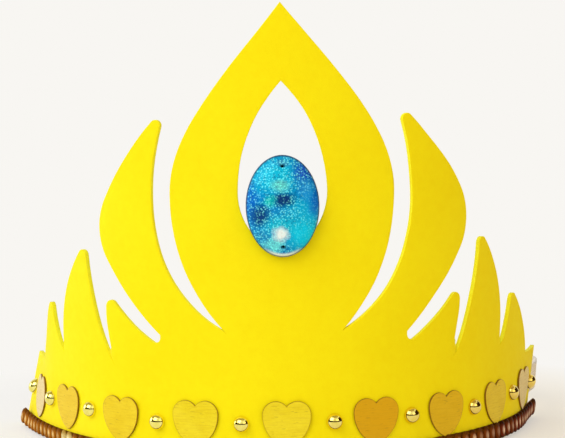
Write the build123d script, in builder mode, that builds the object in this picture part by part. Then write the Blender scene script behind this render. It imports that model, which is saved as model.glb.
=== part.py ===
from build123d import *
from math import acos, cos, degrees, pi, sin
import os

# A hand-made crown for the front of a head: one bent foam sheet with nine points, a row of hearts
# and beads, a stone, a braid along the lower edge and an elastic strap behind.
# Heights run up from the lower edge of the sheet. Places along the sheet are measured from its
# middle on the outer face, as on the flat sheet before it is bent. The front looks towards -Y.

# Foam sheet, bent tightly in front and gently at the sides
foam_thickness = 1.5
sheet_length = 262.0
front_bend_radius = 81.5
front_bend_length = 148.0
side_bend_radius = 134.0
band_height = 25.6

# Middle point with its opening
middle_tip_height = 141.0
middle_half_width = 34.5
middle_belly_height = 84.0
middle_root_height = 28.0
middle_tip_slope = (16.0, 20.0)
middle_shoulder_rise = 19.0
opening_top_margin = 23.5
opening_bottom = 65.5
opening_half_width = 13.5
opening_belly_height = 84.0

# Two large curved points, one each side of the middle, with a round-ended slit outside each
slit_place = 39.8
slit_rounding = 1.7
curl_place = 42.0
curl_tip = (36.2, 111.2)
curl_outer_belly = (67.0, 73.5)
curl_outer_foot = (slit_place, 40.0)
curl_outer_bulge_high = 2.4
curl_outer_bulge_low = 1.8
curl_belly_rounding = 17.0
curl_inner_belly = (42.3, 82.0)
curl_inner_sweep = 46.3
curl_tip_rounding = 1.8

# Three small points each side: inner foot, tip and outer foot, then how far each edge curves
small_points = [
    {"inner": (slit_place, 36.3), "tip": (61.0, 53.4), "outer": (57.8, 29.6), "hollow": 1.3, "bulge": 1.8},
    {"inner": (57.0, 28.6), "tip": (72.4, 68.8), "outer": (87.2, 31.0), "hollow": 3.3, "bulge": 5.5},
    {"inner": (86.0, 30.2), "tip": (96.6, 48.4), "outer": (112.6, 25.0), "hollow": 1.9, "bulge": 2.9},
]
small_tip_rounding = 2.2

# Row of hearts and beads
row_height = 13.6
row_pitch = 14.0
heart_count = 9
heart_width = 14.9
heart_height = 14.4
heart_lobe_radius = 4.15
heart_drop = 7.8
heart_thickness = 0.5
bead_diameter = 5.0
bead_sides = 14
bead_rings = 3
glue_gap = 0.05

# Stone
stone_width = 22.2
stone_length = 30.8
stone_rim = 1.4
stone_dome = 4.6
stone_height = 79.8
stone_sides = 36
stone_rings = 5
stone_hole_diameter = 1.3
stone_hole_sides = 8
stone_hole_spacing = 24.0

# Braid along the lower edge; each ring of a loop is a share of its outline, then of its thickness
braid_lift = 0.3
braid_height = 5.2
braid_thickness = 1.9
braid_lean_angle = 9.0
braid_end_margin = 1.2
loop_pitch = 3.8
loop_overlap = 0.9
loop_corner = 1.1
loop_ring_shares = [(1.0, 0.0), (0.86, 0.65), (0.5, 1.0)]

# Elastic strap behind
strap_width = 10.0
strap_thickness = 1.0
strap_overlap = 12.0
strap_lead = 14.0
strap_corner_radius = 45.0

half_length = sheet_length / 2
front_turn = front_bend_length / 2 / front_bend_radius
side_turn = (half_length - front_bend_length / 2) / side_bend_radius
end_turn = front_turn + side_turn
bend_step = side_bend_radius - front_bend_radius

# The frame's origin lies under the middle of the whole crown
stone_reach = glue_gap + stone_rim + stone_dome
sheet_depth = (
    front_bend_radius * (1 - cos(front_turn))
    + side_bend_radius * (cos(front_turn) - cos(end_turn))
)
strap_end_inset = foam_thickness + glue_gap + strap_thickness / 2
strap_depth = (
    sheet_depth
    + strap_end_inset * cos(end_turn)
    + strap_lead * sin(end_turn)
    + strap_corner_radius * (1 + cos(end_turn))
    + strap_thickness / 2
)
front_face_y = -(strap_depth + stone_reach) / 2 + stone_reach
front_centre = Vector(0, front_face_y + front_bend_radius)


def side_centre(side):
    """Centre of the gentler bend, right for 1 and left for -1."""
    return front_centre + Vector(-side * bend_step * sin(front_turn), bend_step * cos(front_turn))


def spot(along, height, out=0.0):
    """Plane on the sheet's outer face: x runs along the sheet, y up and z outwards."""
    side = -1 if along < 0 else 1
    front_part = min(abs(along), front_bend_length / 2)
    side_part = abs(along) - front_part
    turn = side * (front_part / front_bend_radius + side_part / side_bend_radius)
    outward = Vector(sin(turn), -cos(turn))
    if side_part > 0:
        place = side_centre(side) + outward * (side_bend_radius + out)
    else:
        place = front_centre + outward * (front_bend_radius + out)
    return Plane(place + Vector(0, 0, height), x_dir=(cos(turn), sin(turn), 0), z_dir=outward)


def flat_at(along):
    """Plane of the flat sheet where it touches the bend: x and y are places on the flat sheet."""
    plane = spot(along, 0)
    return Plane(plane.origin - plane.x_dir * along, x_dir=plane.x_dir, z_dir=plane.z_dir)


def sheet_arcs(out, reach):
    """Curve that follows the sheet at a distance from its outer face, in the current line."""
    CenterArc(front_centre, front_bend_radius + out, -90 - degrees(front_turn), 2 * degrees(front_turn))
    reach_turn = degrees((reach - front_bend_length / 2) / side_bend_radius)
    for side in (1, -1):
        start = -90 + side * degrees(front_turn)
        CenterArc(side_centre(side), side_bend_radius + out, start, side * reach_turn)


def sheet_outline(inner, outer, reach):
    """Sketch seen from above between two distances from the sheet's outer face."""
    with BuildSketch() as outline:
        with BuildLine():
            sheet_arcs(inner, reach)
            sheet_arcs(outer, reach)
            for side in (1, -1):
                Line(spot(side * reach, 0, inner).origin, spot(side * reach, 0, outer).origin)
        make_face()
    return outline.sketch


def flank_radius(half_width, rise):
    """Radius of an arc that is upright at the belly and meets the centre line at the rise."""
    return (half_width**2 + rise**2) / (2 * half_width)


def small_point(point):
    """Sketch of a small point as cut from the flat sheet, down to the middle of the band."""
    inner, tip, outer = point["inner"], point["tip"], point["outer"]
    with BuildSketch() as outline:
        with BuildLine():
            Polyline(outer, (outer[0], root), (inner[0], root), inner)
            SagittaArc(inner, tip, -point["hollow"])
            SagittaArc(tip, outer, point["bulge"])
        make_face()
        fillet(outline.vertices().sort_by(Axis.Y)[-1], small_tip_rounding)
    return outline.sketch


opening_top = middle_tip_height - opening_top_margin
slab = foam_thickness + middle_half_width**2 / front_bend_radius
root = band_height / 2

with BuildPart() as crown_sheet:
    # Right-hand curled point, drawn on the flat sheet where its middle touches the bend
    with BuildSketch(flat_at(curl_place)) as curl:
        with BuildLine():
            sweep_centre = (curl_inner_belly[0] - curl_inner_sweep, curl_inner_belly[1])
            sweep_low = (sweep_centre[0], sweep_centre[1] - curl_inner_sweep)
            tip_step = curl_inner_belly[0] - curl_tip[0]
            RadiusArc(curl_tip, curl_inner_belly, flank_radius(tip_step, curl_tip[1] - curl_inner_belly[1]))
            CenterArc(sweep_centre, curl_inner_sweep, 0, -90)
            Polyline(sweep_low, (sweep_low[0], root), (curl_outer_foot[0], root), curl_outer_foot)
            SagittaArc(curl_outer_foot, curl_outer_belly, -curl_outer_bulge_low)
            SagittaArc(curl_outer_belly, curl_tip, -curl_outer_bulge_high)
        make_face()
        fillet(curl.vertices().sort_by(Axis.Y)[-1], curl_tip_rounding)
        fillet(curl.vertices().sort_by(Axis.X)[-1], curl_belly_rounding)
        # The small point beside it shares the slit
        add(small_point(small_points[0]))
        fillet(curl.vertices().sort_by_distance(small_points[0]["inner"])[0], slit_rounding)
    extrude(amount=slab, both=True)
    for point in small_points[1:]:
        with BuildSketch(flat_at(point["tip"][0])):
            add(small_point(point))
        extrude(amount=slab, both=True)
    mirror(about=Plane.YZ)
    # Middle point with its almond opening
    with BuildSketch(flat_at(0)):
        with BuildLine():
            middle_tip = (0, middle_tip_height)
            middle_belly = (middle_half_width, middle_belly_height)
            Bezier(
                middle_tip,
                (middle_tip_slope[0], middle_tip_height - middle_tip_slope[1]),
                (middle_half_width, middle_belly_height + middle_shoulder_rise),
                middle_belly,
            )
            middle_low = middle_belly_height - middle_root_height
            RadiusArc(middle_belly, (0, middle_root_height), flank_radius(middle_half_width, middle_low))
            mirror(about=Plane.YZ)
        make_face()
        with BuildLine():
            opening_side = (opening_half_width, opening_belly_height)
            for end in (opening_top, opening_bottom):
                rise = abs(end - opening_belly_height)
                turn_side = 1 if end > opening_belly_height else -1
                RadiusArc((0, end), opening_side, turn_side * flank_radius(opening_half_width, rise))
            mirror(about=Plane.YZ)
        make_face(mode=Mode.SUBTRACT)
    extrude(amount=slab, both=True)
    # Keep only the bent sheet, then add the band below the points
    extrude(sheet_outline(-foam_thickness, 0, half_length), amount=middle_tip_height, mode=Mode.INTERSECT)
    extrude(sheet_outline(-foam_thickness, 0, half_length), amount=band_height)

crown_sheet.part.label = "crown_sheet"
pieces = [crown_sheet.part]

# Flat hearts, each standing on the bend at its middle, with the tip down
with BuildSketch() as heart_face:
    with BuildLine():
        lobe_centre = (heart_width / 2 - heart_lobe_radius, heart_height - heart_drop - heart_lobe_radius)
        heart_side = (heart_width / 2, lobe_centre[1])
        CenterArc(lobe_centre, heart_lobe_radius, 0, 180 - degrees(acos(lobe_centre[0] / heart_lobe_radius)))
        side_rise = lobe_centre[1] + heart_drop
        RadiusArc(heart_side, (0, -heart_drop), flank_radius(heart_width / 2, side_rise))
        mirror(about=Plane.YZ)
    make_face()

for number in range(1, heart_count + 1):
    along = (number - (heart_count + 1) / 2) * 2 * row_pitch
    with BuildPart() as heart:
        with BuildSketch(spot(along, row_height, glue_gap)):
            add(heart_face.sketch)
        extrude(amount=heart_thickness)
    heart.part.label = f"heart_{number}"
    pieces.append(heart.part)


def dome_points(width, length, base, rise, sides, rings):
    """Corners of a flat-faced dome on an oval base, smaller ring by ring towards its top."""
    points = []
    for ring in range(rings):
        climb = ring * pi / 2 / rings
        for side in range(sides):
            turn = side * 2 * pi / sides
            x = width / 2 * cos(climb) * cos(turn)
            y = length / 2 * cos(climb) * sin(turn)
            points.append((x, y, base + rise * sin(climb)))
    return points + [(0, 0, base + rise)]


# Half-round beads between and beside the hearts
bead_points = dome_points(bead_diameter, bead_diameter, glue_gap, bead_diameter / 2, bead_sides, bead_rings)
for number in range(1, heart_count + 2):
    along = (number - (heart_count + 2) / 2) * 2 * row_pitch
    with BuildPart(spot(along, row_height)) as bead:
        ConvexPolyhedron(bead_points)
    bead.part.label = f"bead_{number}"
    pieces.append(bead.part)

# Oval flat-backed stone over the lower end of the opening
rim_top = glue_gap + stone_rim
stone_points = dome_points(stone_width, stone_length, rim_top, stone_dome, stone_sides, stone_rings)
back_points = [(x, y, glue_gap) for x, y, level in stone_points[:stone_sides]]
with BuildPart(spot(0, stone_height)) as stone:
    ConvexPolyhedron(stone_points + back_points)
    with BuildSketch(spot(0, stone_height, glue_gap)):
        with GridLocations(0, stone_hole_spacing, 1, 2):
            RegularPolygon(stone_hole_diameter / 2, stone_hole_sides)
    extrude(amount=stone_reach, mode=Mode.SUBTRACT)
stone.part.label = "stone"
pieces.append(stone.part)

# Braid: padded loops across it, each overlapping the next and all leaning the same way
braid_reach = half_length - braid_end_margin
loop_count = round(2 * braid_reach / loop_pitch)
loop_step = 2 * braid_reach / loop_count
loop_places = [(loop + 0.5) * loop_step - braid_reach for loop in range(loop_count)]
loop_points = []
for share, rise in loop_ring_shares:
    half_width = share * (loop_step + loop_overlap) / 2
    half_height = share * braid_height / 2
    corner = share * loop_corner
    level = glue_gap + rise * braid_thickness
    for side in (-1, 1):
        for end in (-1, 1):
            loop_points.append((side * half_width, end * (half_height - corner), level))
            loop_points.append((side * (half_width - corner), end * half_height, level))
with BuildPart(*[spot(along, braid_lift + braid_height / 2) for along in loop_places]) as braid:
    ConvexPolyhedron(loop_points, rotation=(0, 0, braid_lean_angle))
braid.part.label = "braid"
pieces.append(braid.part)

# Elastic strap: inside each end of the band, then round behind
corner_turn = 180 - degrees(end_turn)
strap_end = spot(half_length, 0, -strap_end_inset)
corner_start = strap_end.origin + strap_end.x_dir * strap_lead
corner_centre = corner_start - strap_end.z_dir * strap_corner_radius
overlap_turn = strap_overlap / side_bend_radius
with BuildPart() as back_strap:
    with BuildSketch(Plane.XY.offset(band_height / 2)):
        with BuildLine():
            ends = []
            for out in (-strap_thickness / 2, strap_thickness / 2):
                path_radius = side_bend_radius - strap_end_inset + out
                lap = CenterArc(
                    side_centre(1), path_radius, -90 + degrees(end_turn - overlap_turn), degrees(overlap_turn)
                )
                lead = Line(lap @ 1, lap @ 1 + strap_end.x_dir * strap_lead)
                corner = CenterArc(
                    corner_centre, strap_corner_radius + out, -90 + degrees(end_turn), corner_turn
                )
                Line(corner @ 1, (0, (corner @ 1).Y))
                ends.append(lap @ 0)
            Line(*ends)
            mirror(about=Plane.YZ)
        make_face()
    extrude(amount=strap_width / 2, both=True)
back_strap.part.label = "back_strap"
pieces.append(back_strap.part)

os.makedirs("parts", exist_ok=True)
for piece in pieces:
    export_step(piece, f"parts/{piece.label}.step")
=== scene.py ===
import math
import random

import bmesh
import bpy
from mathutils import Matrix, Vector, noise


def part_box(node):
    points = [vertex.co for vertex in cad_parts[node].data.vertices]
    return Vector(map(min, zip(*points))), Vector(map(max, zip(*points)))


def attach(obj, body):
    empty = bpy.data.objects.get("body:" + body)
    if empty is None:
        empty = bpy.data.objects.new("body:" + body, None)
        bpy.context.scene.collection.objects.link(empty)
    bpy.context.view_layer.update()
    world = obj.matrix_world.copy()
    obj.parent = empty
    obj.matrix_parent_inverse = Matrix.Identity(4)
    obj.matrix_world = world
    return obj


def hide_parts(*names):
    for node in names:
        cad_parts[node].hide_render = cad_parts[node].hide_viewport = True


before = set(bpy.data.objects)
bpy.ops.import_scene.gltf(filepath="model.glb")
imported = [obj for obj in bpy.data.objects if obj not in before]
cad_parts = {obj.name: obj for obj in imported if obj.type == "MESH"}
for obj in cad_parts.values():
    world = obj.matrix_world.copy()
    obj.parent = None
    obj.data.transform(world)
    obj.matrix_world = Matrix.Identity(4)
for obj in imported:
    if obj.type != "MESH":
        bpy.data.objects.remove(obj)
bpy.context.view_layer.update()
scene = bpy.context.scene
scene.view_settings.view_transform = "Standard"
noise.seed_set(7)

# Sizes of the crown, in metres, the same as its solids have
MM = 0.001
SAME_PLACE = 0.002 * MM
FOAM_THICKNESS = 1.5 * MM
SHEET_LENGTH = 262 * MM
SHEET_HEIGHT = 141 * MM
FRONT_BEND_RADIUS = 81.5 * MM
FRONT_BEND_LENGTH = 148 * MM
SIDE_BEND_RADIUS = 134 * MM
ROW_HEIGHT = 13.6 * MM
ROW_PITCH = 14 * MM
HEART_COUNT = 9
BEAD_COUNT = 10
GLUE_GAP = 0.05 * MM
HEART_THICKNESS = 0.5 * MM
BEAD_RADIUS = 2.5 * MM
STONE_SIZE = (22.2 * MM, 30.8 * MM)
STONE_RIM = 1.4 * MM
STONE_DOME = 4.6 * MM
STONE_HEIGHT = 79.8 * MM
STONE_HOLE_SPACING = 24 * MM
BRAID_MIDDLE = 2.9 * MM
BRAID_HEIGHT = 5.2 * MM
BRAID_THICKNESS = 1.9 * MM
BRAID_REACH = 129.8 * MM
LOOP_COUNT = 68
STRAP_THICKNESS = 1 * MM
STRAP_WIDTH = 10 * MM
STRAP_LAP = 12 * MM
STRAP_LEAD = 14 * MM
STRAP_CORNER_RADIUS = 45 * MM

# The band's ends lean to the right at the top: slope and still height at the left, then at the right
END_LEANS = ((0.2, 6 * MM), (0.12, 18 * MM))
LEAN_FRONT = -24 * MM
LEAN_BACK = 48 * MM
LEAN_FADE = 30 * MM

# Places that the sizes give
front_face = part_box("crown_sheet")[0].y
strap_middle = sum(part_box("back_strap"), Vector()).z / 2
half_length = SHEET_LENGTH / 2
front_turn = FRONT_BEND_LENGTH / 2 / FRONT_BEND_RADIUS
end_turn = front_turn + (half_length - FRONT_BEND_LENGTH / 2) / SIDE_BEND_RADIUS
front_centre = Vector((0, front_face + FRONT_BEND_RADIUS, 0))


def facing(turn):
    """The level way that leads out of the front, turned to the right."""
    return Vector((math.sin(turn), -math.cos(turn), 0))


def beside(turn):
    """The level way that follows the band to the right, at a turn from its front."""
    return Vector((math.cos(turn), math.sin(turn), 0))


def side_centre(side):
    """Centre of the gentler bend, right for 1 and left for -1."""
    step = SIDE_BEND_RADIUS - FRONT_BEND_RADIUS
    return front_centre + Vector((-side * step * math.sin(front_turn), step * math.cos(front_turn), 0))


def bent(flat):
    """Where a point of the flat sheet lies once the sheet is bent: along it, up, and out from its face."""
    along, up, out = flat
    side = 1 if along > 0 else -1
    front = min(abs(along), FRONT_BEND_LENGTH / 2)
    beyond = abs(along) - front
    outward = facing(side * (front / FRONT_BEND_RADIUS + beyond / SIDE_BEND_RADIUS))
    if beyond > 0:
        return side_centre(side) + outward * (SIDE_BEND_RADIUS + out) + Vector((0, 0, up))
    return front_centre + outward * (FRONT_BEND_RADIUS + out) + Vector((0, 0, up))


def unbent(point):
    """The point of the flat sheet that lies at a point of the bent one."""
    side = 1 if point.x > 0 else -1
    away = point - front_centre
    turn = math.atan2(abs(away.x), -away.y)
    if turn <= front_turn:
        out = math.hypot(away.x, away.y) - FRONT_BEND_RADIUS
        return Vector((side * turn * FRONT_BEND_RADIUS, point.z, out))
    away = point - side_centre(side)
    turn = math.atan2(side * away.x, -away.y)
    along = FRONT_BEND_LENGTH / 2 + (turn - front_turn) * SIDE_BEND_RADIUS
    return Vector((side * along, point.z, math.hypot(away.x, away.y) - SIDE_BEND_RADIUS))


def share(value, start, length):
    """How far a value is past a start, as a share of a length, kept from 0 to 1."""
    return min(1, max(0, (value - start) / length))


def eased(value, low, high):
    """A soft step from 0 at a low value to 1 at a high one."""
    step = share(value, low, high - low)
    return step * step * (3 - 2 * step)


def leaned(place):
    """Where a point comes to lie with the lean of the band's ends, which fades out in front and behind."""
    slope, pivot = END_LEANS[place.x > 0]
    amount = eased(place.y, LEAN_FRONT, LEAN_FRONT + LEAN_FADE)
    amount *= eased(place.y, LEAN_BACK, LEAN_BACK - LEAN_FADE)
    return place + Vector((amount * slope * (place.z - pivot), 0, 0))


def placed(along, up, out=0.0):
    """Sets a piece drawn flat, with x along, y up and z outwards, against the bent sheet."""
    origin = bent((along, up, out))
    outward = bent((along, up, out + 1)) - origin
    ahead = Vector((-outward.y, outward.x, 0))
    turn = Matrix((ahead, Vector((0, 0, 1)), outward)).transposed()
    return Matrix.Translation(origin) @ turn.to_4x4()


# Node helpers
def put(tree, socket, value):
    """Sets an input to a plain value, or links another node's socket to it."""
    if isinstance(value, bpy.types.NodeSocket):
        tree.links.new(value, socket)
    else:
        socket.default_value = value


def add(tree, kind, inputs=(), **settings):
    """Adds a node with its settings and inputs."""
    made = tree.nodes.new(kind)
    for name, value in settings.items():
        setattr(made, name, value)
    for name, value in dict(inputs).items():
        put(tree, made.inputs[name], value)
    return made


def seen(red, green, blue):
    """A colour as the eye sees it, 0 to 255, turned into the shader's own scale."""
    parts = [part / 255 for part in (red, green, blue)]
    return (*[p / 12.92 if p < 0.04045 else ((p + 0.055) / 1.055) ** 2.4 for p in parts], 1)


def blended(tree, factor, first, second):
    """Two colours mixed by a mask."""
    made = add(tree, "ShaderNodeMix", data_type="RGBA")
    put(tree, made.inputs[0], factor)
    put(tree, made.inputs[6], first)
    put(tree, made.inputs[7], second)
    return made.outputs[2]


def maths(tree, operation, first, second=0.0):
    """One sum on values or masks."""
    return add(tree, "ShaderNodeMath", {0: first, 1: second}, operation=operation).outputs[0]


def times(tree, first, second):
    """The product of two values or masks."""
    return maths(tree, "MULTIPLY", first, second)


def vectors(tree, operation, *given):
    """One sum on vectors. It gives a value where it measures one, and otherwise a vector."""
    made = add(tree, "ShaderNodeVectorMath", dict(enumerate(given)), operation=operation)
    return made.outputs["Value" if operation in ("LENGTH", "DOT_PRODUCT") else "Vector"]


def split(tree, vector):
    """The three parts of a vector."""
    return add(tree, "ShaderNodeSeparateXYZ", {"Vector": vector}).outputs


def written(tree, name):
    """A value that the piece carries at each of its corners."""
    return add(tree, "ShaderNodeAttribute", attribute_name=name).outputs["Fac"]


def spread(tree, value, low, high, to_low=0.0, to_high=1.0):
    """A value moved from one range to another, and kept in it."""
    inputs = {"Value": value, "From Min": low, "From Max": high, "To Min": to_low, "To Max": to_high}
    return add(tree, "ShaderNodeMapRange", inputs).outputs[0]


def ramp(tree, value, *stops):
    """Colours along a value, each given with its place."""
    made = add(tree, "ShaderNodeValToRGB", {"Fac": value})
    while len(made.color_ramp.elements) < len(stops):
        made.color_ramp.elements.new(0.5)
    for element, (place, colour) in zip(made.color_ramp.elements, stops):
        element.position = place
        element.color = colour
    return made.outputs["Color"]


def noisy(tree, vector, scale, detail, roughness):
    """Soft noise of a given scale, in bumps for each unit of the vector."""
    inputs = {"Vector": vector, "Scale": scale, "Detail": detail, "Roughness": roughness}
    return add(tree, "ShaderNodeTexNoise", inputs).outputs["Fac"]


def stretched(tree, vector, scale):
    """A vector made longer or shorter along each of its ways."""
    return add(tree, "ShaderNodeMapping", {"Vector": vector, "Scale": scale}).outputs["Vector"]


def bumped(tree, height, strength, distance):
    """A normal tilted by a height."""
    inputs = {"Height": height, "Strength": strength, "Distance": distance}
    return add(tree, "ShaderNodeBump", inputs).outputs["Normal"]


def material(name, values):
    """A new material with plain values on its shader; gives it with its tree and its shader's inputs."""
    made = bpy.data.materials.new(name)
    made.use_nodes = True
    shader = made.node_tree.nodes["Principled BSDF"]
    for socket, value in values.items():
        shader.inputs[socket].default_value = value
    return made, made.node_tree, shader.inputs


def on_object(tree):
    """The place on the piece, in metres."""
    return add(tree, "ShaderNodeTexCoord").outputs["Object"]


def on_map(tree):
    """The place on the piece's own map."""
    return add(tree, "ShaderNodeTexCoord").outputs["UV"]


# Effects that several finishes share
def new_group(name, inputs, outputs):
    """An effect for several materials, with named inputs and outputs."""
    tree = bpy.data.node_groups.new(name, "ShaderNodeTree")
    for label, kind in inputs:
        tree.interface.new_socket(label, in_out="INPUT", socket_type="NodeSocket" + kind)
    for label, kind in outputs:
        tree.interface.new_socket(label, in_out="OUTPUT", socket_type="NodeSocket" + kind)
    return tree, add(tree, "NodeGroupInput").outputs, add(tree, "NodeGroupOutput").inputs


def mottle_group():
    """Uneven colour of two sizes, from large clouds and small specks."""
    sizes = [("Vector", "Vector"), ("Clouds", "Float"), ("Specks", "Float")]
    tones = [("Pale", "Color"), ("Deep", "Color")]
    tree, given, result = new_group("mottle", sizes + tones, [("Color", "Color"), ("Mask", "Float")])
    clouds = noisy(tree, given["Vector"], given["Clouds"], detail=4.0, roughness=0.55)
    specks = noisy(tree, given["Vector"], given["Specks"], detail=2.0, roughness=0.6)
    both = maths(tree, "ADD", times(tree, clouds, 0.65), times(tree, specks, 0.35))
    mask = spread(tree, both, 0.36, 0.64)
    put(tree, result["Mask"], mask)
    put(tree, result["Color"], blended(tree, mask, given["Pale"], given["Deep"]))
    return tree


def pores_group():
    """Small open cells, as a height and a mask of their hollows."""
    inputs = [("Vector", "Vector"), ("Scale", "Float"), ("Depth", "Float")]
    tree, given, result = new_group("pores", inputs, [("Height", "Float"), ("Hollows", "Float")])
    cells = add(tree, "ShaderNodeTexVoronoi", {"Vector": given["Vector"], "Scale": given["Scale"]})
    hollows = spread(tree, cells.outputs["Distance"], 0.42, 0.05)
    coarser = times(tree, given["Scale"], 0.3)
    unevenness = noisy(tree, given["Vector"], coarser, detail=3.0, roughness=0.6)
    put(tree, result["Height"], maths(tree, "SUBTRACT", unevenness, times(tree, hollows, given["Depth"])))
    put(tree, result["Hollows"], hollows)
    return tree


def threads_group():
    """Fine threads lying side by side across the map's x, with a twist, as a height and a mask."""
    inputs = [("Vector", "Vector"), ("Count", "Float"), ("Twist", "Float")]
    tree, given, result = new_group("threads", inputs, [("Height", "Float"), ("Grooves", "Float")])
    parts = split(tree, given["Vector"])
    slanted = maths(tree, "ADD", parts["X"], times(tree, parts["Y"], given["Twist"]))
    wave = maths(tree, "SINE", times(tree, times(tree, slanted, given["Count"]), math.pi))
    height = maths(tree, "ABSOLUTE", wave)
    put(tree, result["Height"], height)
    put(tree, result["Grooves"], spread(tree, height, 0.45, 0.0))
    return tree


def glitter_group():
    """Flakes of glitter: a bright dot, a shade and a tilt of its own for each flake."""
    inputs = [("Vector", "Vector"), ("Scale", "Float")]
    outputs = [("Shade", "Float"), ("Spark", "Float"), ("Height", "Float")]
    tree, given, result = new_group("glitter", inputs, outputs)
    flakes = add(tree, "ShaderNodeTexVoronoi", {"Vector": given["Vector"], "Scale": given["Scale"]}).outputs
    parts = add(tree, "ShaderNodeSeparateColor", {"Color": flakes["Color"]}).outputs
    lean = vectors(tree, "SUBTRACT", flakes["Color"], (0.5, 0.5, 0.5))
    step = vectors(tree, "SUBTRACT", given["Vector"], flakes["Position"])
    dot = spread(tree, flakes["Distance"], 0.5, 0.2)
    put(tree, result["Shade"], parts["Red"])
    put(tree, result["Spark"], times(tree, dot, spread(tree, parts["Green"], 0.0, 0.8, 0.25, 1.0)))
    put(tree, result["Height"], vectors(tree, "DOT_PRODUCT", lean, step))
    return tree


mottle = mottle_group()
pores = pores_group()
threads = threads_group()
glitter = glitter_group()


def effect(tree, group, inputs):
    """Places a shared effect in a material and gives its outputs."""
    made = tree.nodes.new("ShaderNodeGroup")
    made.node_tree = group
    for name, value in inputs.items():
        put(tree, made.inputs[name], value)
    return made.outputs


def mottled(tree, place, clouds, specks, pale, deep):
    """Two tones mixed unevenly, with the mask that mixes them."""
    tones = {"Pale": seen(*pale), "Deep": seen(*deep)}
    return effect(tree, mottle, {"Vector": place, "Clouds": clouds, "Specks": specks, **tones})


def threaded(tree, place, count, twist):
    """Threads on a piece's map, as a height and the grooves between them."""
    return effect(tree, threads, {"Vector": place, "Count": count, "Twist": twist})


def zone(tree, place, centre, size, soft=0.35):
    """A soft oval patch on a piece's map, 1 in its middle and 0 outside it."""
    away = vectors(tree, "SUBTRACT", place, (*centre, 0))
    scaled = vectors(tree, "DIVIDE", away, (*size, 1))
    return spread(tree, vectors(tree, "LENGTH", scaled), 1.0, soft)


# Finishes
def foam_finish():
    """Matt yellow craft foam, a little cloudy, with a skin of tiny pores whose hollows are painted darker as
    shade.
    """
    values = {"Specular IOR Level": 0.1, "Sheen Weight": 0.04, "Sheen Roughness": 0.4}
    made, tree, shader = material("foam", values)
    place = on_object(tree)
    dyed = mottled(tree, place, clouds=26, specks=420, pale=(252, 235, 5), deep=(249, 228, 2))
    skin = effect(tree, pores, {"Vector": place, "Scale": 2600, "Depth": 0.35})
    # Painted shade: the pores' hollows are darker
    pore_shaded = blended(tree, times(tree, skin["Hollows"], 0.14), dyed["Color"], seen(226, 196, 2))
    put(tree, shader["Base Color"], pore_shaded)
    put(tree, shader["Roughness"], spread(tree, dyed["Mask"], 0, 1, 0.6, 0.74))
    put(tree, shader["Normal"], bumped(tree, skin["Height"], 0.35, 0.05 * MM))
    return made


def cut_foam_finish():
    """The foam's cut edge, paler and rougher, with open cells painted darker inside as shade."""
    values = {"Roughness": 0.85, "Specular IOR Level": 0.1, "Sheen Weight": 0.1}
    made, tree, shader = material("foam cut edge", values)
    place = on_object(tree)
    dyed = mottled(tree, place, clouds=90, specks=900, pale=(255, 251, 48), deep=(253, 240, 18))
    cells = effect(tree, pores, {"Vector": place, "Scale": 1900, "Depth": 0.8})
    # Painted shade inside the open cells
    cell_shade = times(tree, cells["Hollows"], 0.3)
    put(tree, shader["Base Color"], blended(tree, cell_shade, dyed["Color"], seen(224, 190, 4)))
    put(tree, shader["Normal"], bumped(tree, cells["Height"], 0.6, 0.1 * MM))
    return made


def heart_finish():
    """Thin plywood dyed gold, deeper amber on some hearts and painted pale beige on two as sheen, its grain
    across the heart and its outline a little burnt.
    """
    values = {"Specular IOR Level": 0.12, "Sheen Weight": 0.25, "Sheen Roughness": 0.35}
    made, tree, shader = material("heart wood", values)
    place = on_map(tree)
    grain = noisy(tree, stretched(tree, place, (0.16, 2.6, 1)), 1.0, detail=5.0, roughness=0.6)
    stain_and_sheen = written(tree, "stain_and_sheen")
    wood = mottled(tree, place, clouds=0.16, specks=1.7, pale=(246, 228, 46), deep=(236, 214, 26))
    toned = blended(tree, spread(tree, stain_and_sheen, 0, 1), wood["Color"], seen(218, 158, 4))
    # Below 0 the hearts turn pale beige: painted sheen
    toned = blended(tree, spread(tree, stain_and_sheen, 0, -1), toned, seen(230, 207, 158))
    grained = blended(tree, spread(tree, grain, 0.46, 0.72, 0.0, 0.3), toned, seen(188, 142, 12))
    marks = noisy(tree, stretched(tree, place, (0.34, 3.6, 1)), 1.0, detail=1.0, roughness=0.5)
    marked = blended(tree, spread(tree, marks, 0.67, 0.73, 0.0, 0.5), grained, seen(140, 96, 12))
    burn = spread(tree, written(tree, "burn"), 0.3, 1.0, 0.0, 0.5)
    put(tree, shader["Base Color"], blended(tree, burn, marked, seen(160, 120, 4)))
    put(tree, shader["Roughness"], spread(tree, grain, 0.3, 0.7, 0.38, 0.58))
    put(tree, shader["Normal"], bumped(tree, grain, 0.3, 0.06 * MM))
    return made


def burnt_finish():
    """The hearts' edges, burnt brown by the laser that cut them."""
    made, tree, shader = material("burnt edge", {"Specular IOR Level": 0.3})
    charred = mottled(tree, on_object(tree), clouds=300, specks=2400, pale=(166, 120, 16), deep=(116, 80, 8))
    put(tree, shader["Base Color"], charred["Color"])
    put(tree, shader["Roughness"], spread(tree, charred["Mask"], 0, 1, 0.5, 0.8))
    put(tree, shader["Normal"], bumped(tree, charred["Mask"], 0.4, 0.05 * MM))
    return made


def bead_finish():
    """Bright gold plating with a few fine scratches, and a warm reflection painted on the beads at the
    right.
    """
    made, tree, shader = material("gold bead", {"Metallic": 1.0})
    place = on_object(tree)
    plated = mottled(tree, place, clouds=500, specks=4000, pale=(255, 246, 150), deep=(242, 228, 104))
    scratches = noisy(tree, stretched(tree, place, (900, 2600, 5200)), 1.0, detail=2.0, roughness=0.7)
    # Painted warm reflection, stronger on the beads further right
    warm = blended(tree, written(tree, "warm_reflection"), plated["Color"], seen(222, 160, 50))
    put(tree, shader["Base Color"], warm)
    put(tree, shader["Roughness"], spread(tree, scratches, 0.4, 0.75, 0.06, 0.16))
    put(tree, shader["Normal"], bumped(tree, scratches, 0.05, 0.02 * MM))
    return made
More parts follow.
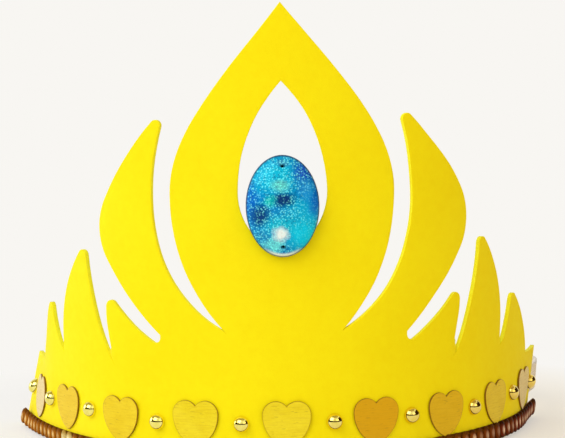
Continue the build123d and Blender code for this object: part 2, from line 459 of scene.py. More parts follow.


# Patches of the stone's glitter tone and of painted reflection: middle and reach on its map, in millimetres,
# and tone. Later ones cover earlier ones. The two near-white patches low down are a painted glare, and the
# large cyan patch at the upper left is partly a painted reflection of a lamp
STONE_TONES_AND_GLARE = (
    ((-2.4, 9.0), (9.0, 7.4), (0, 214, 250)),
    ((4.0, -0.4), (5.0, 4.4), (4, 188, 242)),
    ((6.4, -7.6), (7.6, 7.8), (0, 214, 255)),
    ((-1.0, -6.0), (7.0, 5.0), (16, 212, 246)),
    ((-6.4, -10.0), (4.4, 3.6), (24, 158, 218)),
    ((7.4, 10.6), (5.4, 4.8), (0, 84, 214)),
    ((10.6, 3.0), (3.4, 8.0), (2, 112, 220)),
    ((7.0, 5.0), (3.4, 3.8), (28, 160, 240)),
    ((-9.8, 1.4), (3.2, 7.4), (4, 122, 226)),
    ((-6.8, -2.6), (3.6, 4.6), (0, 62, 124)),
    ((0.2, 2.1), (4.4, 2.8), (14, 52, 112)),
    ((-3.7, 1.6), (2.4, 2.2), (8, 212, 208)),
    ((-0.7, 6.4), (3.4, 2.6), (110, 240, 232)),
    ((0.2, 12.8), (2.4, 1.6), (60, 166, 210)),
    ((-2.6, -11.4), (4.4, 2.8), (120, 252, 255)),
    ((-0.7, -8.2), (3.0, 3.0), (244, 255, 255)),
)
CALM_PATCHES = (((9.0, 1.0), (5.0, 8.0)), ((6.4, -9.0), (6.0, 6.0)), ((-0.7, -8.2), (3.0, 3.0)))
PATCH_DRIFT = 1.5


def stone_finish():
    """Clear acrylic over blue glitter, cyan in some places and deep blue in others, with painted
    reflections, a glare low on the dome and a pale crescent at its lower edge, and painted dark shade round
    its edge.
    """
    values = {"Coat Weight": 0.1, "Coat Roughness": 0.06, "Specular IOR Level": 0.05, "Metallic": 0.08}
    made, tree, shader = material("stone", values)
    still = on_map(tree)
    drift = add(tree, "ShaderNodeTexNoise", {"Vector": still, "Scale": 0.35, "Detail": 3.0}).outputs["Color"]
    place = vectors(tree, "MULTIPLY_ADD", drift, (2 * PATCH_DRIFT, 2 * PATCH_DRIFT, 0), still)
    place = vectors(tree, "SUBTRACT", place, (PATCH_DRIFT, PATCH_DRIFT, 0))
    colour = seen(4, 158, 232)
    for centre, size, tone in STONE_TONES_AND_GLARE:
        colour = blended(tree, zone(tree, place, centre, size), colour, seen(*tone))
    flakes = effect(tree, glitter, {"Vector": still, "Scale": 1.8})
    specks = effect(tree, glitter, {"Vector": still, "Scale": 2.7})
    calm = 0.0
    for centre, size in CALM_PATCHES:
        calm = maths(tree, "MAXIMUM", calm, zone(tree, place, centre, size))
    lively = spread(tree, calm, 0.0, 1.0, 1.0, 0.25)
    gaps = times(tree, spread(tree, flakes["Spark"], 0.25, 0.0), 0.3)
    gaps = maths(tree, "MAXIMUM", gaps, spread(tree, specks["Shade"], 0.1, 0.4, 0.6, 0.0))
    colour = blended(tree, times(tree, gaps, lively), colour, seen(0, 66, 140))
    glint = blended(tree, 0.8, colour, seen(130, 255, 255))
    colour = blended(tree, times(tree, flakes["Spark"], lively), colour, glint)
    half_size = (STONE_SIZE[0] / 2 / MM, STONE_SIZE[1] / 2 / MM, 1)
    scaled = vectors(tree, "DIVIDE", still, half_size)
    outward = vectors(tree, "LENGTH", scaled)
    low = spread(tree, split(tree, scaled)["Y"], -0.8, -0.93)
    # Painted highlight: a pale crescent along the lower edge
    crescent = times(tree, spread(tree, outward, 0.9, 0.95), low)
    colour = blended(tree, times(tree, crescent, 0.95), colour, seen(240, 252, 246))
    # Painted shade: a dark outline round the dome's edge
    colour = blended(tree, spread(tree, outward, 0.955, 0.985, 0.0, 0.85), colour, seen(10, 48, 92))
    put(tree, shader["Base Color"], colour)
    put(tree, shader["Roughness"], spread(tree, flakes["Shade"], 0, 1, 0.25, 0.5))
    put(tree, shader["Normal"], bumped(tree, flakes["Height"], 0.5, 0.25 * MM))
    return made


def hole_finish():
    """The inside of the stone's sewing holes, painted dark as the shade in them and the dark foil behind, a
    little uneven.
    """
    made, tree, shader = material("sewing hole", {"Specular IOR Level": 0.1})
    # Painted shade in the holes, over the dark foil's own colour
    hole_shade = mottled(tree, on_object(tree), clouds=700, specks=5000, pale=(30, 120, 150), deep=(8, 62, 92))
    put(tree, shader["Base Color"], hole_shade["Color"])
    put(tree, shader["Roughness"], spread(tree, hole_shade["Mask"], 0, 1, 0.6, 0.9))
    return made


def stone_side_finish():
    """The stone's clear rim and back over its foil, pale with a grey-blue tint."""
    values = {"Coat Weight": 0.3, "Coat Roughness": 0.06, "Specular IOR Level": 0.2, "Metallic": 0.4}
    made, tree, shader = material("stone side", values)
    foil = mottled(tree, on_object(tree), clouds=240, specks=2400, pale=(120, 168, 186), deep=(20, 62, 96))
    put(tree, shader["Base Color"], foil["Color"])
    put(tree, shader["Roughness"], spread(tree, foil["Mask"], 0, 1, 0.2, 0.5))
    put(tree, shader["Normal"], bumped(tree, foil["Mask"], 0.2, 0.05 * MM))
    return made


def thread_finish(name, *shades):
    """Shiny embroidery thread, with painted shade at the loops' ends and in the grooves between its fibres,
    and one painted highlight on the front of each loop.
    """
    made, tree, shader = material(name, {"Specular IOR Level": 0.05})
    place = on_map(tree)
    up = split(tree, place)["Y"]
    fibres = threaded(tree, place, count=6.0, twist=0.5)
    tint = written(tree, "tint")
    # Each loop's tint also sets the strength of its painted highlight
    strength = spread(tree, tint, 1.0, 0.5, 0.4, 1.0)
    # Painted highlight on the front of each loop
    patch = times(tree, zone(tree, place, (0.5, 0.5), (0.25, 0.3), 0.2), strength)
    tones = []
    for dark, middle, bright in shades:
        # Painted shade at the loops' ends, round the thread's own middle colour
        plain = ramp(tree, up, (0.0, dark), (0.2, middle), (0.7, middle), (0.88, dark))
        lit = blended(tree, patch, plain, bright)
        # Painted shade in the grooves between the fibres
        tones.append(blended(tree, times(tree, fibres["Grooves"], 0.6), lit, dark))
    dyed = blended(tree, written(tree, "side"), tones[0], tones[-1])
    put(tree, shader["Base Color"], blended(tree, spread(tree, tint, 0, 1, 0.0, 0.4), dyed, shades[0][0]))
    put(tree, shader["Roughness"], spread(tree, fibres["Height"], 0, 1, 0.6, 0.35))
    put(tree, shader["Normal"], bumped(tree, fibres["Height"], 0.7, 0.12 * MM))
    return made


def cord_finish():
    """Dark twisted cord along the edges of the braid, with painted shade in the grooves of its twist."""
    made, tree, shader = material("braid cord", {"Specular IOR Level": 0.03})
    place = on_map(tree)
    fibres = threaded(tree, place, count=9.0, twist=0.9)
    dyed = mottled(tree, place, clouds=0.4, specks=4.0, pale=(140, 84, 6), deep=(88, 48, 2))
    # Painted shade in the grooves between the plies
    grooves = times(tree, fibres["Grooves"], 0.7)
    put(tree, shader["Base Color"], blended(tree, grooves, dyed["Color"], seen(30, 14, 6)))
    put(tree, shader["Roughness"], spread(tree, fibres["Height"], 0, 1, 0.75, 0.45))
    put(tree, shader["Normal"], bumped(tree, fibres["Height"], 0.6, 0.08 * MM))
    return made


def elastic_finish():
    """White woven elastic: ribs along it, fine stitches across them."""
    made, tree, shader = material("elastic", {"Sheen Weight": 0.1, "Specular IOR Level": 0.1})
    place = on_map(tree)
    ribs = threaded(tree, place, count=1.15, twist=0.0)
    turned = add(tree, "ShaderNodeMapping", {"Vector": place, "Rotation": (0, 0, math.pi / 2)})
    stitches = threaded(tree, turned.outputs["Vector"], count=1.6, twist=0.35)
    woven = mottled(tree, place, clouds=0.08, specks=2.0, pale=(252, 246, 238), deep=(244, 236, 226))
    shaded = maths(tree, "MAXIMUM", ribs["Grooves"], times(tree, stitches["Grooves"], 0.6))
    shaded = times(tree, shaded, 0.5)
    put(tree, shader["Base Color"], blended(tree, shaded, woven["Color"], seen(206, 194, 178)))
    put(tree, shader["Roughness"], spread(tree, woven["Mask"], 0, 1, 0.65, 0.85))
    height = maths(tree, "ADD", times(tree, ribs["Height"], 0.7), times(tree, stitches["Height"], 0.4))
    put(tree, shader["Normal"], bumped(tree, height, 0.8, 0.2 * MM))
    return made


foam = foam_finish()
cut_foam = cut_foam_finish()
heart_wood = heart_finish()
burnt_edge = burnt_finish()
gold = bead_finish()
stone_face = stone_finish()
stone_side = stone_side_finish()
stone_hole = hole_finish()
# Each thread's dark colour for painted shade and for loops darker at random, its own middle colour, and its
# bright painted highlight
golden_thread = (seen(120, 68, 2), seen(178, 106, 12), seen(255, 218, 140))
maroon_thread = (seen(40, 8, 2), seen(118, 42, 14), seen(255, 218, 190))
beige_thread = (seen(178, 142, 60), seen(232, 208, 138), seen(252, 240, 196))
braid_thread = thread_finish("braid thread", golden_thread, maroon_thread)
pale_thread = thread_finish("pale thread", beige_thread)
braid_cord = cord_finish()
elastic = elastic_finish()


# Piece helpers
def clean_copy(node):
    """A copy of a solid's mesh with its loose corners joined."""
    shape = bmesh.new()
    shape.from_mesh(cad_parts[node].data)
    bmesh.ops.remove_doubles(shape, verts=shape.verts, dist=SAME_PLACE)
    return shape


def map_flat(shape, rule):
    """Gives each corner its place on the piece's own map."""
    layer = shape.loops.layers.uv.verify()
    for face in shape.faces:
        for loop in face.loops:
            loop[layer].uv = rule(loop.vert.co)


def cut_through(shape, place, way, nearness, **keep):
    """Cuts a shape along a plane."""
    geometry = shape.verts[:] + shape.edges[:] + shape.faces[:]
    bmesh.ops.bisect_plane(shape, geom=geometry, dist=nearness, plane_co=place, plane_no=way, **keep)


def half_ball(radius, around, upward, low):
    """The upper half of a ball, open where it is cut, a small share of the radius above its middle."""
    shape = bmesh.new()
    bmesh.ops.create_uvsphere(shape, u_segments=around, v_segments=upward, radius=radius)
    cut_through(shape, (0, 0, low * radius), (0, 0, -1), radius / 10000, clear_outer=True)
    return shape


def soften(shape, edges, offset, clamp):
    """Rounds edges off in two steps."""
    bmesh.ops.bevel(
        shape, geom=edges, offset=offset, segments=2, profile=0.5, affect="EDGES", material=-1,
        clamp_overlap=clamp,
    )


def open_edges(shape):
    """The edges round a shape's openings."""
    return [edge for edge in shape.edges if edge.is_boundary]


def close_up(shape):
    """Fills a shape's openings and turns its faces outwards."""
    bmesh.ops.holes_fill(shape, edges=open_edges(shape), sides=0)
    bmesh.ops.recalc_face_normals(shape, faces=shape.faces)


def as_mesh(name, shape):
    """A finished shape made a mesh."""
    mesh = bpy.data.meshes.new(name)
    shape.to_mesh(mesh)
    shape.free()
    return mesh


def in_scene(name, data):
    """A new object, linked to the scene."""
    made = bpy.data.objects.new(name, data)
    scene.collection.objects.link(made)
    return made


def new_piece(name, shape, finishes, slot, *nodes, sharp=40):
    """Makes a piece of a finished shape. It rides on the crown and stands for its solids."""
    for vert in shape.verts:
        vert.co = leaned(vert.co)
    mesh = as_mesh(name, shape)
    for finish in finishes:
        mesh.materials.append(finish)
    mesh.shade_smooth()
    mesh.set_sharp_from_angle(angle=math.radians(sharp))
    piece = in_scene(name, mesh)
    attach(piece, "root")
    if nodes:
        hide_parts(*nodes)
    return piece


def thickened(piece, thickness):
    """Gives a thin piece its thickness, outwards."""
    thick = piece.modifiers.new("thickness", "SOLIDIFY")
    thick.thickness = thickness
    thick.offset = 1
    return piece


# Foam sheet with its nine points, cut by hand
# Valleys between the small points: place along the sheet, lowest height, slope of the valley's line, and how
# far each side gives way at the left and at the right
VALLEYS = (
    (58.1 * MM, 30.3 * MM, 0.43, (0.5 * MM, 0.9 * MM)),
    (87.2 * MM, 31.3 * MM, 0.4, (0.5 * MM, 0.8 * MM)),
)
VALLEY_REACH = 3 * MM
VALLEY_OPENING = (0, 2 * MM)
VALLEY_CLOSING = (20 * MM, 8 * MM)
# The small points stand higher at the right than at the left, and further along there
SMALL_POINT_LEVELS = (34 * MM, 68 * MM)
TIP_RISE = 1.2 * MM
TIP_RISE_REACH = 75 * MM
RIGHT_TIP_SHIFT = 1.7 * MM
RIGHT_SHIFT_STARTS = ((46 * MM, 58 * MM), (80 * MM, 96 * MM))
LEFT_END_EXTRA = 4 * MM
LEFT_END_START = 112 * MM

FLAT_ANGLE = math.radians(0.4)
RIM_ANGLE = 1.2
FOAM_RIM = 0.22 * MM
GRID_STEPS = (2.5 * MM, 3.1 * MM)
GRID_START = 0.37
SHAKE = 0.16 * MM
SHAKE_LENGTH = 11 * MM
SHAKE_SETTLE = 5 * MM
WAVE = 1.1 * MM
WAVE_LENGTH = 48 * MM
# Where the wave starts and how long it takes to grow, aside and up, so that it spares stone and row
WAVE_ASIDE = (15 * MM, 12 * MM)
WAVE_UP = (26 * MM, 40 * MM)


def hand_cut(place):
    """How far a point of the sheet lies from the drawn outline, along and up, because it was cut by hand."""
    side = 1 if place.x > 0 else -1
    away = abs(place.x)
    high = eased(place.y, *SMALL_POINT_LEVELS)
    up = side * min(1, away / TIP_RISE_REACH) * high * TIP_RISE
    if side > 0:
        along = RIGHT_TIP_SHIFT * high * sum(eased(away, *start) for start in RIGHT_SHIFT_STARTS)
    else:
        along = -LEFT_END_EXTRA * eased(away, LEFT_END_START, half_length)
    for valley, low, slope, gaps in VALLEYS:
        rise = place.y - low
        aside = away - valley - slope * rise
        gap = gaps[side > 0] * eased(rise, *VALLEY_OPENING) * eased(rise, *VALLEY_CLOSING)
        along += side * math.copysign(gap * math.exp(-((aside / VALLEY_REACH) ** 2)), aside)
    return Vector((along, up, 0))


def uneven(place):
    """How a point of the sheet shakes along and up its outline, and waves in and out."""
    across = Vector((place.x, place.y, 0))
    shake = noise.noise_vector(across / SHAKE_LENGTH) * SHAKE * share(place.y, 0, SHAKE_SETTLE)
    clear = share(abs(place.x), *WAVE_ASIDE) * share(place.y, *WAVE_UP)
    return Vector((shake.x, shake.y, noise.noise(across / WAVE_LENGTH) * WAVE * clear))


def foam_crown():
    """The sheet laid flat, its cut edges eased and made a little uneven by hand, then bent again."""
    shape = clean_copy("crown_sheet")
    for vert in shape.verts:
        flat = unbent(vert.co)
        flat.z = 0 if flat.z > -FOAM_THICKNESS / 2 else -FOAM_THICKNESS
        vert.co = flat
    bmesh.ops.remove_doubles(shape, verts=shape.verts, dist=SAME_PLACE)
    bmesh.ops.dissolve_limit(shape, angle_limit=FLAT_ANGLE, verts=shape.verts, edges=shape.edges)
    shape.normal_update()
    level = [edge for edge in shape.edges if edge.verts[0].co.z == edge.verts[1].co.z]
    soften(shape, [edge for edge in level if edge.calc_face_angle(0) > RIM_ANGLE], FOAM_RIM, clamp=False)
    for step, start, reach, way in (
        (GRID_STEPS[0], -half_length, half_length, Vector((1, 0, 0))),
        (GRID_STEPS[1], 0, SHEET_HEIGHT, Vector((0, 1, 0))),
    ):
        place = way * (GRID_START * step + start)
        while place.dot(way) < reach:
            cut_through(shape, place, way, SAME_PLACE / 2)
            place = place + way * step
    shape.normal_update()
    for face in shape.faces:
        face.material_index = 0 if abs(face.normal.z) > 0.5 else 1
    map_flat(shape, lambda place: (place.x / MM, place.y / MM))
    for vert in shape.verts:
        vert.co = bent(vert.co + uneven(vert.co) + hand_cut(vert.co))
    return new_piece("foam_crown", shape, [foam, cut_foam], "foam", "crown_sheet")


crown = foam_crown()
even = crown.modifiers.new("even shading", "WEIGHTED_NORMAL")
even.keep_sharp = True

# Row of hearts and beads
# How far they were glued from their even places, along the band and up, in millimetres
HEART_SHIFTS = (
    (0.4, 0), (-0.2, 0.1), (0.5, -0.3), (0.1, 0.2), (0.45, 0.3),
    (0.45, 0.2), (-1.2, -0.3), (-1.5, -0.3), (-1.6, 0.2),
)
BEAD_SHIFTS = (
    (-1.5, 0.7), (0.4, 0.7), (-0.2, 0.7), (0.9, -0.5), (0.6, -0.1),
    (1.1, 0.2), (-1.1, 0.3), (-1.5, -0.3), (-1.3, 0.4), (-1.3, -0.1),
)
# Stain of each heart, with a painted pale sheen below 0, and the painted warm reflection on each bead's
# plating
HEART_STAINS_AND_SHEENS = (-0.8, 0.42, 0.3, 0.06, 0.06, 0.85, 0.6, 0.28, -0.72)
BEAD_WARM_REFLECTIONS = (0, 0, 0, 0, 0.1, 0.2, 0.3, 0.42, 0.45, 0.5)
HEART_RIM = 0.09 * MM
BURN_WIDTH = 0.28 * MM
GRAIN_STEP = (41, 17)
BEAD_SPREAD = 1.05
BEAD_CUT = 0.008


def row_place(number, count):
    """How far along the band a heart or bead has its even place, of so many hearts or beads."""
    return (number - (count + 1) / 2) * 2 * ROW_PITCH


def glued(shift, along):
    """The place of a heart or bead on the sheet, a little off its even place."""
    return placed(along + shift[0] * MM, ROW_HEIGHT + shift[1] * MM, GLUE_GAP)


def wooden_heart(number):
    """A flat heart with a burnt outline, its tip down."""
    along = row_place(number, HEART_COUNT)
    shape = clean_copy(f"heart_{number}")
    shape.transform(placed(along, ROW_HEIGHT, GLUE_GAP).inverted())
    bmesh.ops.dissolve_limit(shape, angle_limit=math.radians(0.5), verts=shape.verts, edges=shape.edges)
    shape.normal_update()
    bmesh.ops.dissolve_faces(shape, faces=[face for face in shape.faces if face.normal.z > 0.9])
    outline = [edge for edge in shape.edges if min(vert.co.z for vert in edge.verts) > HEART_THICKNESS / 2]
    soften(shape, outline, HEART_RIM, clamp=True)
    shape.normal_update()
    front = [face for face in shape.faces if face.normal.z > 0.999]
    bmesh.ops.inset_region(shape, faces=front, thickness=BURN_WIDTH, use_even_offset=True)
    burn = shape.verts.layers.float.new("burn")
    stain_and_sheen = shape.verts.layers.float.new("stain_and_sheen")
    inner = {vert for face in front for vert in face.verts}
    for vert in shape.verts:
        vert[burn] = 0.0 if vert in inner else 1.0
        vert[stain_and_sheen] = HEART_STAINS_AND_SHEENS[number - 1]
    shape.normal_update()
    for face in shape.faces:
        face.material_index = 0 if face.normal.z > 0.5 else 1
    grain = Vector(GRAIN_STEP) * number
    map_flat(shape, lambda place: (place.x / MM + grain.x, place.y / MM + grain.y))
    shape.transform(glued(HEART_SHIFTS[number - 1], along))
    name, finishes = f"wooden_heart_{number}", [heart_wood, burnt_edge]
    return new_piece(name, shape, finishes, "heart_wood", f"heart_{number}", sharp=50)


def gold_bead(number):
    """A half-round bead with a flat back."""
    shape = half_ball(BEAD_RADIUS, around=32, upward=20, low=BEAD_CUT)
    close_up(shape)
    bmesh.ops.scale(shape, vec=(BEAD_SPREAD, BEAD_SPREAD, 1), verts=shape.verts)
    warm_reflection = shape.verts.layers.float.new("warm_reflection")
    for vert in shape.verts:
        vert[warm_reflection] = BEAD_WARM_REFLECTIONS[number - 1]
    shape.transform(glued(BEAD_SHIFTS[number - 1], row_place(number, BEAD_COUNT)))
    return new_piece(f"gold_bead_{number}", shape, [gold], "bead_metal", f"bead_{number}", sharp=60)


for number in range(1, HEART_COUNT + 1):
    wooden_heart(number)
for number in range(1, BEAD_COUNT + 1):
    gold_bead(number)

# Stone over the lower end of the opening
STONE_CUT = 0.0005
STONE_HOLE_RADIUS = 0.4 * MM
STONE_HOLE_FLOOR = 0.6 * MM
DRILL_LENGTH = 20 * MM


def stone_drill(home):
    """The tool that drills both sewing holes, not quite to the stone's back."""
    shape = bmesh.new()
    for side in (-1, 1):
        middle = (0, side * STONE_HOLE_SPACING / 2, STONE_HOLE_FLOOR + DRILL_LENGTH / 2)
        bmesh.ops.create_cone(
            shape, cap_ends=True, segments=20, radius1=STONE_HOLE_RADIUS, radius2=STONE_HOLE_RADIUS,
            depth=DRILL_LENGTH, matrix=Matrix.Translation(middle),
        )
    shape.transform(home)
    return in_scene("drill", as_mesh("drill", shape))


def glitter_stone():
    """A smooth oval dome on a clear rim, with a sewing hole near each end."""
    shape = half_ball(1, around=72, upward=36, low=STONE_CUT)
    bmesh.ops.scale(shape, vec=(STONE_SIZE[0] / 2, STONE_SIZE[1] / 2, STONE_DOME), verts=shape.verts)
    bmesh.ops.translate(shape, vec=(0, 0, STONE_RIM), verts=shape.verts)
    walls = bmesh.ops.extrude_edge_only(shape, edges=open_edges(shape))["geom"]
    for vert in walls:
        if isinstance(vert, bmesh.types.BMVert):
            vert.co.z = GLUE_GAP
    close_up(shape)
    shape.normal_update()
    for face in shape.faces:
        face.material_index = 0 if face.normal.z > 0.02 else 1
    map_flat(shape, lambda place: (place.x / MM, place.y / MM))
    home = placed(0, STONE_HEIGHT)
    shape.transform(home)
    finishes = [stone_face, stone_side, stone_hole]
    piece = new_piece("glitter_stone", shape, finishes, "stone", "stone", sharp=50)
    drill = stone_drill(home)
    holes = piece.modifiers.new("sewing holes", "BOOLEAN")
    holes.operation = "DIFFERENCE"
    holes.object = drill
    drilled = bpy.data.meshes.new_from_object(piece.evaluated_get(bpy.context.evaluated_depsgraph_get()))
    piece.modifiers.clear()
    piece.data = drilled
    bpy.data.objects.remove(drill)
    for face in drilled.polygons:
        place = home.inverted() @ face.center
        if math.hypot(place.x, abs(place.y) - STONE_HOLE_SPACING / 2) < STONE_HOLE_RADIUS * 1.01:
            face.material_index = 2
    return piece


glitter_stone()

# Braid along the lower edge. Its last bit at each end is loose, and it was pulled wider at the right
LOOSE_START = 116 * MM
LOOSE_OUT = 1.7 * MM
LOOSE_RISES = (1.2 * MM, 0.9 * MM)
RIGHT_SPREAD = 0.18
RIGHT_SPREAD_START = (20 * MM, 60 * MM)
# Loops: their lengths and slants, in degrees, lie between these. Width is a share of the pitch
LOOP_SWELLS = (0.9, 1.06)
LOOP_SLANTS = (6, 12)
LOOP_LIFT = 0.15 * MM
LOOP_WIDTH = 0.42
LOOP_DEPTH = 0.92 * MM
LOOP_FILL = 0.98
LOOP_PINCH = 2.3
STRANDS = 12
STRAND_DEPTH = 0.07
STRAND_TWIST = 3
MAROON_START = (24 * MM, 60 * MM)
PALE_STRETCH = (-88 * MM, -79 * MM)
CORD_RADIUS = 0.36 * MM
CORD_PLIES = 2
CORD_TWIST = 900
PLY_DEPTH = 0.22
CORD_SWAY = 0.18 * MM
SWAY_LENGTH = 7 * MM
SWAY_STEP = 900
UPPER_CORD = BRAID_MIDDLE + BRAID_HEIGHT / 2 - 1.1 * MM
LOWER_CORD = BRAID_MIDDLE - BRAID_HEIGHT / 2 + 0.45 * MM
TAPE_WIDTH = BRAID_HEIGHT - 0.8 * MM
TAPE_THICKNESS = 0.35 * MM
chance = random.Random(7)


def on_braid(along, up, out):
    """A place on the braid, loose at its ends and wider at the right."""
    loose = max(0, (abs(along) - LOOSE_START) / (BRAID_REACH - LOOSE_START)) ** 2
    wide = 1 + RIGHT_SPREAD * eased(along, *RIGHT_SPREAD_START)
    return bent((along, up * wide + LOOSE_RISES[along >= 0] * loose, out + LOOSE_OUT * loose))


def braid_loops(name, finish, chosen, *nodes):
    """Fat padded loops across the braid, each pinched at its ends, all leaning to the left."""
    shape = bmesh.new()
    layer = shape.loops.layers.uv.verify()
    # Per-loop tint, which also sets the strength of the painted highlight
    tint = shape.verts.layers.float.new("tint")
    maroon = shape.verts.layers.float.new("side")
    step = 2 * BRAID_REACH / LOOP_COUNT
    for loop in range(LOOP_COUNT):
        along = (loop + 0.5) * step - BRAID_REACH
        swell = chance.uniform(*LOOP_SWELLS)
        slant = math.radians(chance.uniform(*LOOP_SLANTS))
        shade = chance.random()
        lift = chance.uniform(-LOOP_LIFT, LOOP_LIFT)
        if not chosen(along):
            continue
        thread = bmesh.ops.create_uvsphere(shape, u_segments=20, v_segments=14, radius=1)["verts"]
        for face in {face for vert in thread for face in vert.link_faces}:
            for corner in face.loops:
                place = corner.vert.co
                corner[layer].uv = (math.atan2(place.y, place.x) / math.pi, place.z / 2 + 0.5)
        for vert in thread:
            vert[tint] = shade
            vert[maroon] = share(along, *MAROON_START)
            height = vert.co.z
            around = math.atan2(vert.co.y, vert.co.x)
            full = math.sqrt(max(0, 1 - abs(height) ** LOOP_PINCH))
            full *= 1 + STRAND_DEPTH * math.cos(STRANDS * around + STRAND_TWIST * height)
            if math.hypot(vert.co.x, vert.co.y) <= 0.01:
                full = 0
            across = full * math.cos(around) * step * LOOP_WIDTH
            rise = full * math.sin(around) * LOOP_DEPTH * swell
            up = height * BRAID_HEIGHT / 2 * LOOP_FILL + lift * (1 - abs(height))
            across, up = across - math.sin(slant) * up, math.cos(slant) * up
            vert.co = on_braid(along + across, BRAID_MIDDLE + up, max(GLUE_GAP, BRAID_THICKNESS / 2 + rise))
    bmesh.ops.recalc_face_normals(shape, faces=shape.faces)
    return new_piece(name, shape, [finish], "braid", *nodes, sharp=80)


def rolled(name, up):
    """A twisted cord that follows the lower edge: a grid rolled round the sheet's bend."""
    shape = bmesh.new()
    bmesh.ops.create_grid(shape, x_segments=620, y_segments=10, size=0.5)
    map_flat(shape, lambda place: (place.y * 2, place.x * 2 * BRAID_REACH / MM))
    for vert in shape.verts:
        along = vert.co.x * 2 * BRAID_REACH
        turn = vert.co.y * 2 * math.pi
        size = CORD_RADIUS * (1 + PLY_DEPTH * math.cos(CORD_PLIES * (turn - along * CORD_TWIST)))
        sway = noise.noise(Vector((along / SWAY_LENGTH, up * SWAY_STEP, 0))) * CORD_SWAY
        out = CORD_RADIUS * 1.3 + GLUE_GAP + size * math.cos(turn)
        vert.co = on_braid(along, up + sway + size * math.sin(turn), out)
    bmesh.ops.remove_doubles(shape, verts=shape.verts, dist=SAME_PLACE)
    close_up(shape)
    return new_piece(name, shape, [braid_cord], "braid", sharp=70)


def is_pale(along):
    """Where the braid was joined, with paler loops."""
    return PALE_STRETCH[0] < along < PALE_STRETCH[1]


def braid_tape():
    """The thin woven tape that carries the loops."""
    shape = bmesh.new()
    bmesh.ops.create_grid(shape, x_segments=180, y_segments=3, size=0.5)
    map_flat(shape, lambda place: (place.y * 4, place.x * 2 * BRAID_REACH / MM))
    for vert in shape.verts:
        vert.co = on_braid(vert.co.x * 2 * BRAID_REACH, BRAID_MIDDLE + vert.co.y * TAPE_WIDTH, GLUE_GAP)
    bmesh.ops.recalc_face_normals(shape, faces=shape.faces)
    return thickened(new_piece("braid_tape", shape, [braid_cord], "braid"), TAPE_THICKNESS)


braid_loops("braid_loops", braid_thread, lambda along: not is_pale(along), "braid")
braid_loops("pale_loops", pale_thread, is_pale)
rolled("upper_cord", UPPER_CORD)
rolled("lower_cord", LOWER_CORD)
braid_tape()

# Elastic strap behind. It lies further in at the left and bulges at the right
STRAP_BULGES = (-1.5 * MM, 2.6 * MM)
BULGE_LENGTH = 50 * MM
strap_radius = SIDE_BEND_RADIUS - FOAM_THICKNESS - GLUE_GAP - STRAP_THICKNESS / 2
lapped = STRAP_LAP / SIDE_BEND_RADIUS * strap_radius
curved = STRAP_CORNER_RADIUS * (math.pi - end_turn)


def strap_path(distance):
    """Middle of the right half of the strap and its outward side, at a distance from its lapped end."""
    turn = end_turn - max(0, lapped - distance) / strap_radius
    outward = facing(turn)
    place = side_centre(1) + outward * strap_radius
    if distance <= lapped:
        return place, outward
    lead = min(distance - lapped, STRAP_LEAD)
    corner = min(distance - lapped - lead, curved)
    centre = place + beside(turn) * lead - outward * STRAP_CORNER_RADIUS
    turn = end_turn + corner / STRAP_CORNER_RADIUS
    outward = facing(turn)
    rest = distance - lapped - lead - corner
    return centre + outward * STRAP_CORNER_RADIUS + beside(turn) * rest, outward


def elastic_strap():
    """A flat ribbed band from inside one end of the foam, round behind, to the other."""
    round_corner = lapped + STRAP_LEAD + curved
    half = round_corner + strap_path(round_corner)[0].x
    shape = bmesh.new()
    bmesh.ops.create_grid(shape, x_segments=260, y_segments=8, size=0.5)
    map_flat(shape, lambda place: (place.y * STRAP_WIDTH / MM, place.x * 2 * half / MM))
    for vert in shape.verts:
        right = vert.co.x > 0
        distance = half * (1 - 2 * abs(vert.co.x))
        place, outward = strap_path(distance)
        bulge = STRAP_BULGES[right] * math.sin(share(distance, lapped, BULGE_LENGTH) * math.pi)
        place = place + outward * (bulge - STRAP_THICKNESS / 2)
        up = strap_middle + vert.co.y * STRAP_WIDTH
        vert.co = Vector((place.x if right else -place.x, place.y, up))
    bmesh.ops.recalc_face_normals(shape, faces=shape.faces)
    return thickened(new_piece("elastic_strap", shape, [elastic], "elastic", "back_strap"), STRAP_THICKNESS)


elastic_strap()

# Floor and background, in metres from the crown's middle
BACKGROUND = seen(248, 246, 242)
FLOOR_REACH = 6
FLOOR_FADE = (0.07, 0.18)
FLOOR_FADE_START = 0.42
# Painted warm bounce light on the table at the right: where it starts and where it is full
PAINTED_BOUNCE_SIDE = (0.03, 0.11)


def looked_at(tree):
    """1 for what the camera sees, straight or in gloss or glass, and 0 for what lights the crown."""
    rays = add(tree, "ShaderNodeLightPath").outputs
    mirrored = maths(tree, "MAXIMUM", rays["Is Glossy Ray"], rays["Is Transmission Ray"])
    return maths(tree, "MAXIMUM", rays["Is Camera Ray"], mirrored)


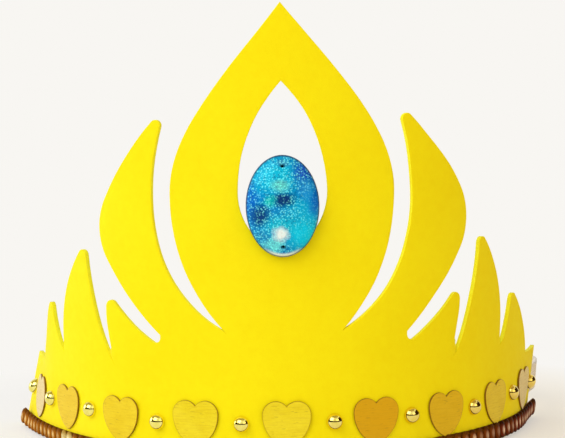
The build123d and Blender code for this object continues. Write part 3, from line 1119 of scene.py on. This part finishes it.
def floor():
    """A pale table with painted warm bounce light at the right, that keeps the crown's shadow and fades into
    the background.
    """
    shape = bmesh.new()
    bmesh.ops.create_grid(shape, x_segments=1, y_segments=1, size=FLOOR_REACH)
    made, tree, shader = material("table", {"Roughness": 0.9, "Specular IOR Level": 0.1})
    place = on_object(tree)
    pale = mottled(tree, place, clouds=3, specks=60, pale=(251, 250, 249), deep=(247, 246, 244))
    # Painted warm bounce light from the crown on the table at the right
    right = spread(tree, split(tree, place)["X"], *PAINTED_BOUNCE_SIDE)
    put(tree, shader["Base Color"], blended(tree, right, pale["Color"], seen(246, 224, 172)))
    white = add(tree, "ShaderNodeEmission", {"Color": BACKGROUND, "Strength": 1.0})
    distance = vectors(tree, "LENGTH", place)
    faded = times(tree, spread(tree, distance, *FLOOR_FADE, FLOOR_FADE_START, 1.0), looked_at(tree))
    lit = tree.nodes["Principled BSDF"].outputs[0]
    mixed = add(tree, "ShaderNodeMixShader", {0: faded, 1: lit, 2: white.outputs[0]})
    put(tree, tree.nodes["Material Output"].inputs["Surface"], mixed.outputs[0])
    mesh = as_mesh("table", shape)
    mesh.materials.append(made)
    table = in_scene("table", mesh)


def studio():
    """Soft white light all round, in front of a plain background."""
    world = bpy.data.worlds.new("studio")
    world.use_nodes = True
    scene.world = world
    tree = world.node_tree
    soft = add(tree, "ShaderNodeBackground", {"Color": (1, 1, 1, 1), "Strength": 0.5})
    white = add(tree, "ShaderNodeBackground", {"Color": BACKGROUND, "Strength": 1.0})
    shades = {0: looked_at(tree), 1: soft.outputs[0], 2: white.outputs[0]}
    backdrop = add(tree, "ShaderNodeMixShader", shades)
    put(tree, tree.nodes["World Output"].inputs["Surface"], backdrop.outputs[0])


floor()
studio()


# Lamps, and the dark and dim sheets that the beads and the stone mirror
def lamp(name, place, target, size, power, colour):
    """A soft square lamp that looks at a target."""
    light = bpy.data.lights.new(name, "AREA")
    light.size = size
    light.energy = power
    light.color = colour
    made = in_scene(name, light)
    made.location = place
    made.rotation_euler = (Vector(target) - Vector(place)).to_track_quat("-Z", "Y").to_euler()


lamp("key", (-0.78, -0.84, 1.05), (0, 0, 0.06), size=1.2, power=12.0, colour=(1, 0.985, 0.95))
lamp("fill", (0.9, -0.9, 0.4), (0, 0, 0.06), size=0.9, power=2.8, colour=(1, 0.74, 0.4))
lamp("side", (-1.1, 0.3, 0.3), (0, 0, 0.03), size=0.5, power=3.0, colour=(1, 1, 1))

CARD_DISTANCE = 1.3
CARD_MIDDLE = Vector((0, 0, 0.06))


def card(name, finish, left, right, low, high):
    """A sheet behind the camera, seen only in the beads and the stone. Its sides are given in degrees."""
    shape = bmesh.new()
    bmesh.ops.create_grid(shape, x_segments=24, y_segments=12, size=0.5)
    for vert in shape.verts:
        aside = math.radians(left + (vert.co.x + 0.5) * (right - left))
        climb = math.radians(low + (vert.co.y + 0.5) * (high - low))
        way = facing(aside) * math.cos(climb) + Vector((0, 0, math.sin(climb)))
        vert.co = way * CARD_DISTANCE + CARD_MIDDLE
    mesh = as_mesh(name, shape)
    mesh.materials.append(finish)
    made = in_scene(name, mesh)
    made.visible_camera = False
    made.visible_diffuse = False
    made.visible_shadow = False


dark = material("dark card", {"Base Color": seen(52, 30, 10), "Roughness": 1.0})[0]
dim = material("dim card", {"Base Color": seen(204, 190, 140), "Roughness": 1.0})[0]
card("left_card", dark, left=-125, right=-26, low=-2, high=17)
card("middle_card", dark, left=-26, right=58, low=-2, high=11)
card("right_card", dark, left=58, right=128, low=-2, high=38)
card("ceiling_card", dim, left=-180, right=180, low=52, high=89)
card("wall_card", dim, left=-125, right=-66, low=17, high=52)

# Camera, in front of the crown, turned a little to the right and down
LENS = 103.16
FILM_WIDTH = 36
CAMERA_PLACE = Vector((-7.03 * MM, front_face - 487.44 * MM, 101.4 * MM))
CAMERA_AIM = Vector((0.01431, 0.9999, 0))
CAMERA_FALL = math.radians(3)
CAMERA_ROLL = math.radians(0.75)

lens = bpy.data.cameras.new("camera")
lens.lens = LENS
lens.sensor_width = FILM_WIDTH
camera = in_scene("camera", lens)
ahead = (CAMERA_AIM * math.cos(CAMERA_FALL) - Vector((0, 0, math.sin(CAMERA_FALL)))).normalized()
right = ahead.cross(Vector((0, 0, 1))).normalized()
above = right.cross(ahead)
level = math.cos(CAMERA_ROLL) * right - math.sin(CAMERA_ROLL) * above
upright = math.sin(CAMERA_ROLL) * right + math.cos(CAMERA_ROLL) * above
turn = Matrix((level, upright, -ahead)).transposed()
camera.matrix_world = Matrix.Translation(CAMERA_PLACE) @ turn.to_4x4()
scene.camera = camera
